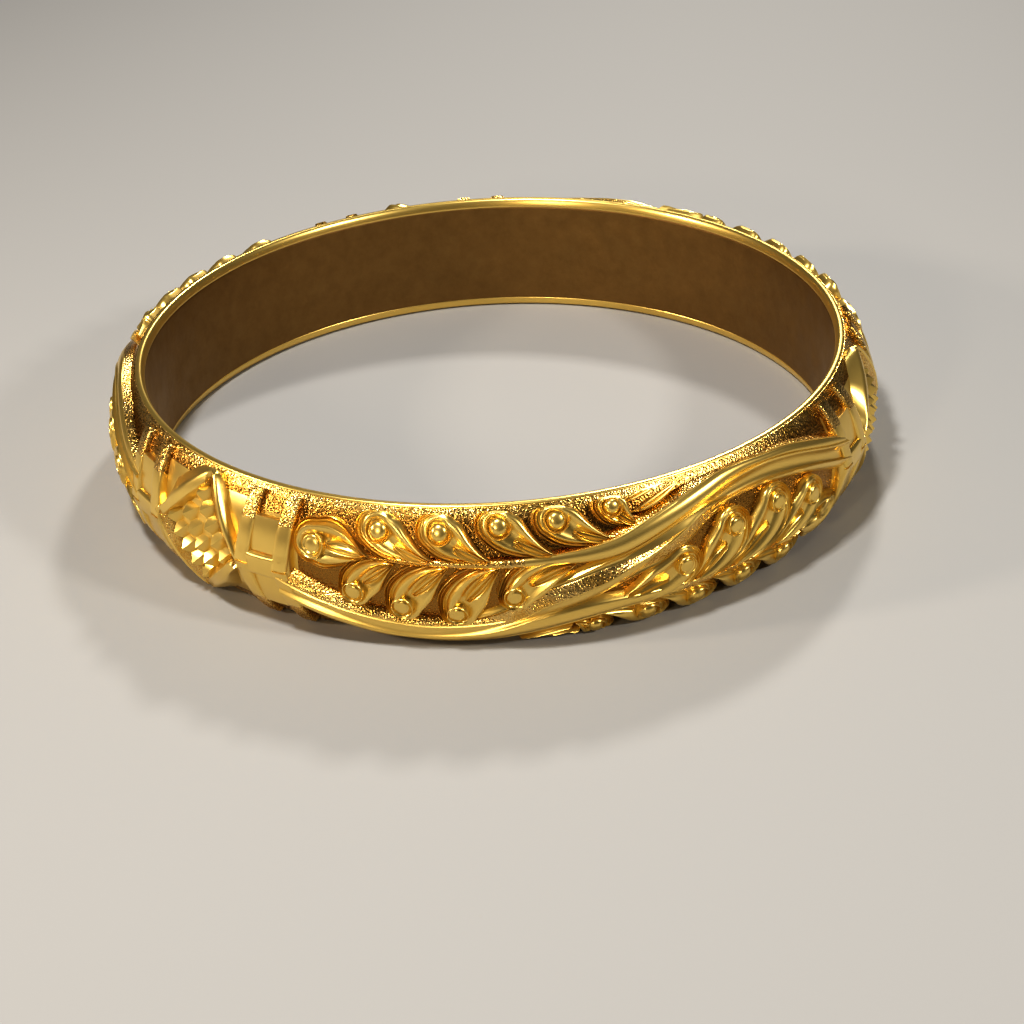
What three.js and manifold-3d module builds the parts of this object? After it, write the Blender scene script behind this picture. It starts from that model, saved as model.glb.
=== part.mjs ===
// A rigid cast bangle lying on its side: one closed ring with a plain wrist opening and a domed outside
// that carries raised ornament. Three serpentine ribbons run round the band with a plume of eyed feathers
// above and below each of them, and three lozenges of pyramid studs stand between them, set off by collars.
// Millimetres and degrees, +Z up. The ring's axis is +Z and the origin is the centre of the resting face.

import * as THREE from "three";
import { mergeVertices } from "three/addons/utils/BufferGeometryUtils.js";
import Module from "manifold-3d";

// The plain ring.
const OPENING_RADIUS = 31.75;
const BAND_WIDTH = 12.2;
const CHAMFER = { depth: 0.3, height: 0.8 };
const REST_LAND = 0.45;
const DOME_RISE = 2.3;
const RING_FACETS = 72;
const DOME_FACETS = 6;

// How the ornament sits on it, and how finely the joined surface is kept.
const REPEATS = 3;
const ROOT_DEPTH = 0.35;
const SUNK_EDGE = -0.1;
const RIM_MARGIN = 0.12;
const SHORTEST_EDGE = 0.3;
const STEADY_NORMAL = 0.88;
const SQUEEZE = { from: 5.0, room: 1.25 };
const FIRST_RIBBON_AT = 14.2;

// The serpentine strand, from its middle to one collar: degrees along the girth, millimetres up.
const RIBBON_HALF = [
  { along: 0, up: 0, halfWidth: 0.8, height: 0.95 },
  { along: 7.3, up: 1.73, halfWidth: 0.75, height: 0.95 },
  { along: 12.8, up: 3.1, halfWidth: 0.7, height: 0.95 },
  { along: 18.5, up: 4.1, halfWidth: 0.62, height: 0.95 },
  { along: 26.2, up: 4.26, halfWidth: 0.55, height: 0.95 },
  { along: 35.8, up: 3.0, halfWidth: 0.62, height: 0.95 },
  { along: 43.5, up: 1.1, halfWidth: 0.7, height: 0.9 },
];

// The plume's stem, which swells and becomes the strand that rides outside the serpentine one.
const STEM = [
  { along: -31.2, up: 2.56, halfWidth: 0.2, height: 0.4 },
  { along: -19, up: 2.4, halfWidth: 0.36, height: 0.5 },
  { along: -9, up: 2.3, halfWidth: 0.5, height: 0.6 },
  { along: -1.5, up: 2.0, halfWidth: 0.75, height: 0.75 },
  { along: 4, up: 2.5, halfWidth: 0.68, height: 0.85 },
  { along: 8, up: 3.15, halfWidth: 0.64, height: 0.9 },
  { along: 12.8, up: 4.3, halfWidth: 0.6, height: 0.9 },
  { along: 18.5, up: 5.16, halfWidth: 0.52, height: 0.9 },
  { along: 26, up: 5.4, halfWidth: 0.55, height: 0.9 },
  { along: 32, up: 4.93, halfWidth: 0.53, height: 0.85 },
  { along: 38, up: 3.76, halfWidth: 0.5, height: 0.8 },
  { along: 43.8, up: 1.9, halfWidth: 0.4, height: 0.6 },
];

// Feathers: where the eye and the tip lie, the eye's ring, and the widest half width of the vane.
const RIM_FEATHERS = [
  { along: -30.35, up: 4.6, tipAlong: -22.9, tipUp: 2.53, eye: 1.05, vane: 1.95 },
  { along: -22.1, up: 4.63, tipAlong: -15.4, tipUp: 2.4, eye: 1.05, vane: 1.95 },
  { along: -14.1, up: 5.0, tipAlong: -7.3, tipUp: 2.6, eye: 1.05, vane: 1.9 },
  { along: -6.3, up: 5.1, tipAlong: 0.8, tipUp: 2.8, eye: 1.05, vane: 1.85 },
  { along: 1.4, up: 5.4, tipAlong: 4.6, tipUp: 3.6, eye: 0.85, vane: 1.3 },
];
const UPPER_PLUME_FEATHERS = [
  { along: -33.8, up: -0.67, tipAlong: -28.2, tipUp: 1.9, eye: 0.93, vane: 1.3 },
  { along: -27.3, up: -1.7, tipAlong: -20.9, tipUp: 1.8, eye: 0.93, vane: 1.4 },
  { along: -20.05, up: -2.29, tipAlong: -13.8, tipUp: 1.7, eye: 0.9, vane: 1.4 },
  { along: -12.5, up: -0.77, tipAlong: -4.0, tipUp: 1.6, eye: 0.85, vane: 1.3 },
];
const LOWER_PLUME_FEATHERS = [
  { along: -34.6, up: -0.11, tipAlong: -26.4, tipUp: 2.2, eye: 0.93, vane: 1.3 },
  { along: -26.9, up: -1.4, tipAlong: -19.4, tipUp: 2.2, eye: 0.93, vane: 1.4 },
  { along: -19, up: -1.13, tipAlong: -12, tipUp: 2.1, eye: 0.9, vane: 1.4 },
  { along: -11, up: 0.77, tipAlong: -2.2, tipUp: 1.9, eye: 0.85, vane: 1.15 },
];
const END_FEATHER = [{ along: -39.8, up: 2.7, tipAlong: -30.8, tipUp: 2.6, eye: 1.15, vane: 2.1 }];
// How far a vane bows to its left, as a share of its length.
const CURL = { rim: -0.15, inner: 0.3, end: 0.1 };
const FEATHER_HEIGHT = 0.6;
const EYE = { facets: 7, wall: 0.65, crown: 0.82 };
const VANE_BEHIND_EYE = 0.85;

// How wide a vane is along its length, as a share of its widest.
const VANE_WIDTH = [
  { share: 0, width: 0.42 },
  { share: 0.2, width: 0.93 },
  { share: 0.4, width: 0.98 },
  { share: 0.65, width: 0.66 },
  { share: 1, width: 0.12 },
];
// A vane's height at its two ends, as a share of its height between them.
const VANE_END = 0.5;

// How many cells each raised form has along and across.
const CELLS = {
  vane: { along: 4, across: 2 },
  strandStep: { along: 1, across: 3 },
  ridge: { along: 2, across: 2 },
  belly: { along: 4, across: 3 },
};

// The collars: pairs of ridges that run from each rim to a smooth belly at mid-width.
const COLLAR = {
  ridges: [44.3, 50.8],
  ridgeFoot: { up: 0.6, halfWidth: 0.48, height: 1.0 },
  ridgeTop: { up: 6.1, halfWidth: 0.26, height: 0.55 },
  belly: { from: 42.6, to: 52.6, up: 1.35, height: 0.95, edgeHeight: 0.7 },
};

// The lozenges: two corners as seen from the middle, the frame's section, and the studs.
const LOZENGE = {
  top: { along: 1.8, up: 6.1 },
  right: { along: 8.3, up: -0.8 },
  levels: [
    { reach: 1, lift: SUNK_EDGE },
    { reach: 0.87, lift: 0.95 },
    { reach: 0.72, lift: 0.4 },
    { reach: 0, lift: 0.3 },
  ],
  studs: { along: 4, across: 5, reach: 0.74, foot: 0.45, peak: 1.05 },
};

// Sizes that follow from the ones above.
const RIM_RADIUS = OPENING_RADIUS + CHAMFER.depth + REST_LAND;
const CREST_RADIUS = RIM_RADIUS + DOME_RISE;
const HALF_WIDTH = BAND_WIDTH / 2;
const DOME_RADIUS = (HALF_WIDTH ** 2 + DOME_RISE ** 2) / (2 * DOME_RISE);
const DOME_LEAN = Math.asin(HALF_WIDTH / DOME_RADIUS);
const MM_PER_DEGREE = THREE.MathUtils.degToRad(CREST_RADIUS);
const LOZENGE_TURN = 180 / REPEATS;
const NUDGE = 0.01;
const TINY = 1e-6;
const WELD = 1e-4;

const wasm = await Module();
wasm.setup();

// Ornament that would run over a rim is drawn in below it.
function squeezed(up) {
  const over = Math.abs(up) - SQUEEZE.from;
  if (over <= 0) return up;
  return Math.sign(up) * (SQUEEZE.from + SQUEEZE.room * Math.tanh(over / SQUEEZE.room));
}

// A point of the flat ornament, in millimetres along, up and out, laid on the dome round a middle angle.
function onDome(along, up, lift, middle) {
  const turn = THREE.MathUtils.degToRad(middle) + along / CREST_RADIUS;
  const lean = squeezed(up) / DOME_RADIUS;
  const ceiling = (HALF_WIDTH - RIM_MARGIN) / Math.max(Math.abs(Math.sin(lean)), TINY);
  const reach = Math.min(DOME_RADIUS + lift, ceiling);
  const radius = CREST_RADIUS - DOME_RADIUS + reach * Math.cos(lean);
  const height = HALF_WIDTH + reach * Math.sin(lean);
  return new THREE.Vector3(radius * Math.sin(turn), -radius * Math.cos(turn), height);
}

// A closed mesh as a solid that can be joined.
function solidOf(geometry) {
  geometry.deleteAttribute("normal");
  geometry.deleteAttribute("uv");
  const merged = mergeVertices(geometry, WELD);
  const vertProperties = new Float32Array(merged.attributes.position.array);
  const triVerts = new Uint32Array(merged.index.array);
  return new wasm.Manifold(new wasm.Mesh({ numProp: 3, vertProperties, triVerts }));
}

// Edges shorter than a limit are drawn together, where the surface stays closed and no face turns over.
function withoutShortEdges(corners, faces, limit) {
  const around = corners.map(() => new Set());
  faces.forEach((face, f) => face.forEach((v) => around[v].add(f)));
  const neighbours = (v) => new Set([...around[v]].flatMap((f) => faces[f]).filter((w) => w !== v));
  const normalOf = (points) => new THREE.Triangle(...points).getNormal(new THREE.Vector3());
  const edges = faces.flatMap(([a, b, c]) => [[a, b], [b, c], [c, a]]).filter(([a, b]) => a < b);
  const lengthOf = ([a, b]) => corners[a].distanceTo(corners[b]);
  edges.sort((one, other) => lengthOf(one) - lengthOf(other));
  for (const [kept, lost] of edges) {
    if (!around[kept].size || !around[lost].size || lengthOf([kept, lost]) > limit) continue;
    const near = neighbours(kept);
    if (!near.has(lost)) continue;
    const shared = [...neighbours(lost)].filter((v) => near.has(v));
    const staying = [...around[lost]].filter((f) => !faces[f].includes(kept));
    const turnsOver = staying.some((f) => {
      const before = normalOf(faces[f].map((v) => corners[v]));
      const after = normalOf(faces[f].map((v) => corners[v === lost ? kept : v]));
      return before.dot(after) < STEADY_NORMAL;
    });
    if (shared.length !== 2 || turnsOver) continue;
    for (const f of around[lost]) {
      if (staying.includes(f)) continue;
      for (const v of faces[f]) if (v !== lost) around[v].delete(f);
    }
    for (const f of staying) {
      faces[f] = faces[f].map((v) => (v === lost ? kept : v));
      around[kept].add(f);
    }
    around[lost].clear();
  }
  const left = new Set(around.flatMap((set) => [...set]));
  return faces.filter((face, f) => left.has(f));
}

function geometryOf(solid) {
  const mesh = solid.getMesh();
  const corners = Array.from({ length: mesh.numVert }, (item, i) =>
    new THREE.Vector3().fromArray(mesh.vertProperties, i * mesh.numProp));
  const faces = Array.from({ length: mesh.numTri }, (item, i) =>
    [...mesh.triVerts.subarray(3 * i, 3 * i + 3)]);
  const kept = withoutShortEdges(corners, faces, SHORTEST_EDGE);
  const geometry = new THREE.BufferGeometry().setFromPoints(corners).setIndex(kept.flat());
  geometry.computeVertexNormals();
  return geometry;
}

// The plain ring: its section goes up the wrist side and back down over the dome.
function ring() {
  const points = [
    new THREE.Vector2(OPENING_RADIUS, CHAMFER.height),
    new THREE.Vector2(OPENING_RADIUS + CHAMFER.depth, 0),
  ];
  for (let i = 0; i <= DOME_FACETS; i++) {
    const lean = DOME_LEAN * ((2 * i) / DOME_FACETS - 1);
    const radius = CREST_RADIUS - DOME_RADIUS * (1 - Math.cos(lean));
    points.push(new THREE.Vector2(radius, HALF_WIDTH + DOME_RADIUS * Math.sin(lean)));
  }
  points.push(new THREE.Vector2(OPENING_RADIUS + CHAMFER.depth, BAND_WIDTH));
  points.push(new THREE.Vector2(OPENING_RADIUS, BAND_WIDTH - CHAMFER.height));
  points.push(points[0].clone());
  return new THREE.LatheGeometry(points, RING_FACETS).rotateX(Math.PI / 2);
}

// A raised patch with its root in the band. surface(s, q) gives along, up and lift for s and q from 0 to 1.
// place says where its middle lies, and a flip of -1 turns the flat ornament half round.
function patch(cellsAlong, cellsAcross, surface, place) {
  const geometry = new THREE.BoxGeometry(1, 1, 1, cellsAlong, cellsAcross, 1);
  const corners = geometry.getAttribute("position");
  for (let i = 0; i < corners.count; i++) {
    const point = surface(corners.getX(i) + 0.5, corners.getY(i) + 0.5);
    const lift = corners.getZ(i) > 0 ? point.lift : -ROOT_DEPTH;
    const laid = onDome(place.flip * point.along, place.flip * point.up, lift, place.middle);
    corners.setXYZ(i, laid.x, laid.y, laid.z);
  }
  return solidOf(geometry);
}

const isEdge = (share) => share === 0 || share === 1;

// A value of a table between its rows: share runs from 0 at the first row to 1 at the last.
function between(rows, column, share) {
  const at = share * (rows.length - 1);
  const i = Math.min(Math.floor(at), rows.length - 2);
  const near = (k) => rows[THREE.MathUtils.clamp(k, 0, rows.length - 1)][column];
  const f = at - i;
  const slopeHere = (near(i + 1) - near(i - 1)) / 2;
  const slopeNext = (near(i + 2) - near(i)) / 2;
  const rise = near(i + 1) - near(i);
  return near(i) + f * (slopeHere + f * (3 * rise - 2 * slopeHere - slopeNext
    + f * (slopeHere + slopeNext - 2 * rise)));
}

// A strand with a rounded back, along a table of stations.
function strand(stations, place) {
  const middleLine = (share) =>
    new THREE.Vector2(between(stations, "along", share) * MM_PER_DEGREE, between(stations, "up", share));
  const surface = (s, q) => {
    const here = middleLine(s);
    const ahead = middleLine(Math.min(s + NUDGE, 1)).sub(middleLine(Math.max(s - NUDGE, 0))).normalize();
    const side = (2 * q - 1) * between(stations, "halfWidth", s);
    const crown = Math.sqrt(1 - (2 * q - 1) ** 2);
    const lift = isEdge(q) ? SUNK_EDGE : between(stations, "height", s) * crown;
    return { along: here.x - ahead.y * side, up: here.y + ahead.x * side, lift };
  };
  const { along, across } = CELLS.strandStep;
  return patch(along * (stations.length - 1), across, surface, place);
}

// The ribbon's other half is the first one turned half round.
function wholeRibbon() {
  const turned = RIBBON_HALF.slice(1).reverse();
  return [...turned.map((row) => ({ ...row, along: -row.along, up: -row.up })), ...RIBBON_HALF];
}

// One feather: a vane that starts behind its eye and curls to its tip, and the round eye on it.
function feather(row, curl, place) {
  const eye = new THREE.Vector2(row.along * MM_PER_DEGREE, row.up);
  const tip = new THREE.Vector2(row.tipAlong * MM_PER_DEGREE, row.tipUp);
  const run = tip.clone().sub(eye);
  const start = eye.clone().addScaledVector(run.clone().normalize(), -VANE_BEHIND_EYE * row.vane);
  const bend = eye.clone().addScaledVector(run, 0.5);
  bend.x -= curl * run.y;
  bend.y += curl * run.x;
  const line = new THREE.QuadraticBezierCurve(start, bend, tip);
  const widthAt = (share) => {
    const next = Math.max(1, VANE_WIDTH.findIndex((stop) => stop.share >= share));
    const low = VANE_WIDTH[next - 1];
    const high = VANE_WIDTH[next];
    return low.width + ((high.width - low.width) * (share - low.share)) / (high.share - low.share);
  };
  const surface = (s, q) => {
    const here = line.getPoint(s);
    const ahead = line.getTangent(s);
    const side = (2 * q - 1) * row.vane * widthAt(s);
    const lift = isEdge(q) ? SUNK_EDGE : FEATHER_HEIGHT * (isEdge(s) ? VANE_END : 1);
    return { along: here.x - ahead.y * side, up: here.y + ahead.x * side, lift };
  };
  const vane = patch(CELLS.vane.along, CELLS.vane.across, surface, place);
  const section = [
    new THREE.Vector2(0, -ROOT_DEPTH),
    new THREE.Vector2(row.eye, -ROOT_DEPTH),
    new THREE.Vector2(row.eye, EYE.wall),
    new THREE.Vector2(0, EYE.crown),
  ];
  const button = new THREE.LatheGeometry(section, EYE.facets).rotateX(Math.PI / 2);
  const corners = button.getAttribute("position");
  for (let i = 0; i < corners.count; i++) {
    const along = place.flip * (eye.x + corners.getX(i));
    const up = place.flip * (eye.y + corners.getY(i));
    const laid = onDome(along, up, corners.getZ(i), place.middle);
    corners.setXYZ(i, laid.x, laid.y, laid.z);
  }
  return vane.add(solidOf(button));
}

// A collar's ridge, narrowing from the belly to a rim. An end of 1 is the upper rim and -1 the lower.
function ridge(turn, end, place) {
  const { ridgeFoot: foot, ridgeTop: top } = COLLAR;
  const station = (share) => ({
    up: end * THREE.MathUtils.lerp(foot.up, top.up, share),
    halfWidth: THREE.MathUtils.lerp(foot.halfWidth, top.halfWidth, share),
    height: THREE.MathUtils.lerp(foot.height, top.height, share),
  });
  const surface = (s, q) => {
    const at = station(end > 0 ? q : 1 - q);
    const lift = isEdge(s) ? SUNK_EDGE : at.height;
    return { along: turn * MM_PER_DEGREE + (2 * s - 1) * at.halfWidth, up: at.up, lift };
  };
  return patch(CELLS.ridge.along, CELLS.ridge.across, surface, place);
}

// The smooth belly that joins the ribbon, the ridges and the lozenge's corner.
function belly(place) {
  const { from, to, up: half, height, edgeHeight } = COLLAR.belly;
  const surface = (s, q) => {
    const edge = Math.max(Math.abs(2 * s - 1), Math.abs(2 * q - 1));
    const along = THREE.MathUtils.lerp(from, to, s) * MM_PER_DEGREE;
    return { along, up: (2 * q - 1) * half, lift: edge < 1 ? height : edgeHeight };
  };
  return patch(CELLS.belly.along, CELLS.belly.across, surface, place);
}

// A point inside a lozenge: a and b run from -1 to 1 between opposite sides.
function inLozenge(a, b) {
  const { top, right } = LOZENGE;
  return {
    along: (MM_PER_DEGREE * (a * (top.along + right.along) + b * (top.along - right.along))) / 2,
    up: (a * (top.up + right.up) + b * (top.up - right.up)) / 2,
  };
}

function lozengeFrame(place) {
  const reaches = LOZENGE.levels.map((level) => level.reach);
  const lines = [...reaches.map((reach) => -reach), ...reaches.slice(0, -1).reverse()];
  const surface = (s, q) => {
    const a = lines[Math.round(s * (lines.length - 1))];
    const b = lines[Math.round(q * (lines.length - 1))];
    const reach = Math.max(Math.abs(a), Math.abs(b));
    const level = LOZENGE.levels.find((row) => row.reach <= reach + TINY);
    return { ...inLozenge(a, b), lift: level.lift };
  };
  return patch(lines.length - 1, lines.length - 1, surface, place);
}

// Rows of four-sided studs that share their feet.
function studs(place) {
  const { along, across, reach, foot, peak } = LOZENGE.studs;
  const points = [];
  const faces = [];
  const lay = (a, b, lift) => {
    const flat = inLozenge(reach * (2 * a - 1), reach * (2 * b - 1));
    points.push(...onDome(place.flip * flat.along, place.flip * flat.up, lift, place.middle).toArray());
    return points.length / 3 - 1;
  };
  const grid = (lift) => {
    const rows = [];
    for (let i = 0; i <= along; i++) {
      rows.push([]);
      for (let j = 0; j <= across; j++) rows[i].push(lay(i / along, j / across, lift));
    }
    return rows;
  };
  const top = grid(foot);
  const root = grid(-ROOT_DEPTH);
  for (let i = 0; i < along; i++) {
    for (let j = 0; j < across; j++) {
      const apex = lay((i + 0.5) / along, (j + 0.5) / across, peak);
      const loop = [top[i][j], top[i + 1][j], top[i + 1][j + 1], top[i][j + 1]];
      for (let k = 0; k < 4; k++) faces.push(loop[k], loop[(k + 1) % 4], apex);
      faces.push(root[i][j], root[i + 1][j + 1], root[i + 1][j]);
      faces.push(root[i][j], root[i][j + 1], root[i + 1][j + 1]);
    }
  }
  const wall = (a, b, c, d) => faces.push(a, b, c, a, c, d);
  for (let i = 0; i < along; i++) {
    wall(root[i][0], root[i + 1][0], top[i + 1][0], top[i][0]);
    wall(root[i + 1][across], root[i][across], top[i][across], top[i + 1][across]);
  }
  for (let j = 0; j < across; j++) {
    wall(root[0][j + 1], root[0][j], top[0][j], top[0][j + 1]);
    wall(root[along][j], root[along][j + 1], top[along][j + 1], top[along][j]);
  }
  const geometry = new THREE.BufferGeometry();
  geometry.setAttribute("position", new THREE.Float32BufferAttribute(points, 3));
  geometry.setIndex(faces);
  return solidOf(geometry);
}

// One plume with its stem and its share of the collar, above the ribbon or, flipped, below it.
function plume(innerFeathers, place) {
  const pieces = [strand(STEM, place)];
  for (const row of END_FEATHER) pieces.push(feather(row, CURL.end, place));
  for (const row of RIM_FEATHERS) pieces.push(feather(row, CURL.rim, place));
  for (const row of innerFeathers) pieces.push(feather(row, CURL.inner, place));
  for (const turn of COLLAR.ridges) {
    pieces.push(ridge(turn, 1, place), ridge(turn, -1, place));
  }
  pieces.push(belly(place));
  return pieces;
}

function bangle() {
  let whole = solidOf(ring());
  for (let repeat = 0; repeat < REPEATS; repeat++) {
    const middle = FIRST_RIBBON_AT + (360 / REPEATS) * repeat;
    const upright = { middle, flip: 1 };
    const turned = { middle, flip: -1 };
    const lozenge = { middle: middle + LOZENGE_TURN, flip: 1 };
    const pieces = [
      strand(wholeRibbon(), upright),
      ...plume(UPPER_PLUME_FEATHERS, upright),
      ...plume(LOWER_PLUME_FEATHERS, turned),
      lozengeFrame(lozenge),
      studs(lozenge),
    ];
    for (const piece of pieces) whole = whole.add(piece);
  }
  return geometryOf(whole);
}

const group = new THREE.Group();
const gold = new THREE.MeshStandardMaterial({ color: 0xd9a73c, roughness: 0.18, metalness: 1 });
const band = new THREE.Mesh(bangle(), gold);
band.name = "band";
group.add(band);

export default group;
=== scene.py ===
import math

import bpy
import numpy as np
from mathutils import Matrix, Vector


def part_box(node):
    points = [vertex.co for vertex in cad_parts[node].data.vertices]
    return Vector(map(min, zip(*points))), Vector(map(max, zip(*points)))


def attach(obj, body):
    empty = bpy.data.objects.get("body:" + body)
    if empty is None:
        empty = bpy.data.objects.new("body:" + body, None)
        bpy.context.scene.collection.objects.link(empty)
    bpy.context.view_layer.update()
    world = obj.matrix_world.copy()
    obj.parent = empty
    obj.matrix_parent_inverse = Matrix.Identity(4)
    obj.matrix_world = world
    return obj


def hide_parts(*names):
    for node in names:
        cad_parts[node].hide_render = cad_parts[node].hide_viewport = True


bl_info = {
    "name": "Plumed Bangle",
    "version": (1, 0, 0),
    "blender": (4, 5, 0),
    "location": "3D View > Sidebar > Bangle",
    "description": "Dresses a cast bangle with ribbons, eyed feathers, collars and studded lozenges",
    "category": "Object",
}

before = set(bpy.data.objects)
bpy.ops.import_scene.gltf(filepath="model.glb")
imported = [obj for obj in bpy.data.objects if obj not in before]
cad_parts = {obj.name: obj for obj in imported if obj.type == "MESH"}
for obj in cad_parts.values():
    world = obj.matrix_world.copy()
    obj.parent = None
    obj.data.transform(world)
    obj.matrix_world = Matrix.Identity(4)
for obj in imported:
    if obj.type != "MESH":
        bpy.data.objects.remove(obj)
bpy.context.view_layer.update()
LOW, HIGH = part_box("band")


def table(columns, *rows):
    """Rows of numbers under named columns."""
    return [dict(zip(columns.split(), row)) for row in rows]


# The ring, in millimetres: its width comes from the frame.
MM = 0.001
BAND_WIDTH = (HIGH.z - LOW.z) / MM
HALF_WIDTH = BAND_WIDTH / 2
OPENING_RADIUS = 31.75
CHAMFER = {"depth": 0.3, "height": 0.8}
RIM_RADIUS = 32.5
DOME_RISE = 2.3
CREST_RADIUS = RIM_RADIUS + DOME_RISE
DOME_RADIUS = (HALF_WIDTH ** 2 + DOME_RISE ** 2) / (2 * DOME_RISE)
DOME_LEAN = math.asin(HALF_WIDTH / DOME_RADIUS)
MM_PER_DEGREE = math.radians(CREST_RADIUS)

# Where the ornament lies round the ring, in degrees from the front.
REPEATS = 3
FIRST_RIBBON_AT = 14.2
LOZENGE_TURN = 180 / REPEATS

# How the ornament sits on the dome, in millimetres: its edges are sunk and its roots go deeper, and past the
# squeeze it is drawn in towards the rim, which it stays clear of.
ROOT_DEPTH = 0.35
SUNK_EDGE = -0.12
RIM_MARGIN = 0.1
SQUEEZE_FROM = 5.0
SQUEEZE_ROOM = 1.25

# Corners nearer than the weld become one. The tiny value tells the edge of a form from the corners beside it,
# and is the least that anything is divided by.
WELD = 1e-4
TINY = 1e-6

# The places of the ornament: degrees round the ring, and 1 for upright or -1 for turned half round.
UPRIGHT = [(FIRST_RIBBON_AT + 360 / REPEATS * k, 1) for k in range(REPEATS)]
TURNED = [(middle, -1) for middle, flip in UPRIGHT]
LOZENGES = [(middle + LOZENGE_TURN, flip) for middle, flip in UPRIGHT]

# One ribbon strand: degrees along from the crossing, then millimetres up to its foot, its crest line, the top
# of its hammered bevel and its upper ridge, and how high the crest and the ridge stand. The other strand is
# this one turned half round, and dips under it where they cross.
RIBBON = table(
    "along foot crest bevel ridge crest_lift ridge_lift",
    (-18.5, -3.95, -3.6, -3.42, -3.3, 0.55, 0.3),
    (-14.2, -4.05, -3.3, -2.4, -2.2, 0.9, 0.45),
    (-11.2, -3.95, -2.5, -1.3, -1.05, 1.0, 0.5),
    (-8.3, -3.65, -1.65, -0.55, -0.25, 1.02, 0.5),
    (-4.5, -3.05, -0.98, 0.02, 0.4, 1.02, 0.55),
    (-1.6, -2.36, -0.44, 0.48, 1.0, 1.02, 0.6),
    (3.4, -0.86, 0.73, 1.08, 1.85, 1.02, 0.75),
    (6.4, 0.23, 1.4, 1.64, 2.4, 1.0, 0.85),
    (11.4, 1.85, 2.57, 2.68, 3.35, 0.92, 0.98),
    (14.5, 2.45, 3.1, 3.2, 4.0, 0.84, 1.0),
    (18.5, 2.95, 3.5, 3.6, 4.62, 0.8, 1.02),
    (22.0, 3.1, 3.65, 3.75, 4.85, 0.8, 1.02),
    (26.0, 2.95, 3.55, 3.65, 4.85, 0.82, 1.02),
    (30.8, 2.4, 3.1, 3.2, 4.42, 0.85, 1.02),
    (34.5, 1.8, 2.6, 2.7, 3.85, 0.88, 1.0),
    (37.7, 1.1, 2.05, 2.15, 3.25, 0.9, 1.0),
    (41.0, 0.3, 1.4, 1.5, 2.65, 0.95, 1.0),
    (45.0, -0.7, 0.6, 0.7, 2.0, 0.95, 0.95),
)

# The strand underneath loses so much of its height at the crossing, and less and less over so many degrees.
DIP = {"depth": 0.45, "reach": 8.0}

# The stem of a plume, which swells and becomes the strand outside the ribbon. The turned plumes, whose stem
# lies a little further out, read the column called turned_up. The wall is the granular side of the strand.
STEM = table(
    "along up turned_up half_width height wall",
    (-31.5, 2.3, 2.9, 0.16, 0.45, 0.15),
    (-28.8, 2.25, 2.95, 0.2, 0.5, 0.15),
    (-21.0, 2.12, 3.0, 0.28, 0.56, 0.18),
    (-15.7, 2.02, 3.05, 0.33, 0.62, 0.2),
    (-9.6, 2.0, 3.05, 0.38, 0.7, 0.22),
    (-5.7, 2.05, 3.0, 0.44, 0.76, 0.3),
    (-1.9, 2.1, 2.95, 0.55, 0.85, 0.5),
    (2.0, 2.41, 3.05, 0.66, 0.95, 0.7),
    (5.8, 3.1, 3.4, 0.7, 1.0, 0.85),
    (9.65, 3.78, 3.95, 0.7, 1.0, 0.85),
    (14.9, 4.68, 4.72, 0.64, 1.0, 0.7),
    (18.5, 5.2, 5.2, 0.58, 0.98, 0.5),
    (22.0, 5.38, 5.38, 0.46, 0.96, 0.4),
    (26.0, 5.2, 5.2, 0.38, 0.95, 0.4),
    (30.8, 4.83, 4.83, 0.41, 0.95, 0.45),
    (35.4, 4.08, 4.08, 0.42, 0.92, 0.5),
    (40.4, 3.1, 3.1, 0.4, 0.9, 0.45),
    (44.5, 2.2, 2.2, 0.3, 0.8, 0.3),
)

# Feathers: where the eye and the tip lie, the radius of the eye, and the unit of the vane's widths.
RIM_FEATHERS = table(
    "along up tip_along tip_up eye vane",
    (-30.2, 4.55, -22.6, 2.25, 1.12, 1.95),
    (-21.95, 4.57, -15.2, 2.2, 1.12, 1.95),
    (-14.05, 4.95, -6.8, 2.35, 1.12, 1.92),
    (-6.3, 5.05, 1.4, 2.85, 1.12, 1.9),
    (1.4, 5.45, 4.6, 3.6, 1.0, 1.6),
)
TURNED_RIM_FEATHERS = [dict(row, tip_up=row["tip_up"] + 0.8) for row in RIM_FEATHERS]
UPPER_INNER_FEATHERS = table(
    "along up tip_along tip_up eye vane",
    (-33.8, -0.67, -28.0, 1.95, 0.95, 1.35),
    (-27.3, -1.7, -20.9, 1.8, 0.95, 1.45),
    (-20.05, -2.29, -14.2, 1.7, 0.92, 1.5),
    (-12.5, -0.77, -4.2, 1.5, 0.92, 1.4),
)
TURNED_INNER_FEATHERS = table(
    "along up tip_along tip_up eye vane",
    (-34.6, -0.11, -26.2, 2.65, 0.93, 1.6),
    (-26.9, -1.4, -18.2, 2.7, 0.93, 1.65),
    (-19.0, -1.13, -12.2, 2.7, 0.93, 1.65),
    (-11.0, 0.77, -1.4, 2.6, 0.93, 1.7),
)
END_FEATHERS = table(
    "along up tip_along tip_up eye vane",
    (-39.66, 2.72, -31.4, 2.25, 1.2, 2.1),
)

# How far a vane bows, as a share of its length, and how far it bulges behind its eye.
BOW = {"rim": -0.16, "inner": 0.3, "end": 0.0}
BACK_BULGE = {"rim": 0.2, "inner": -0.1, "end": -0.04}

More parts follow.
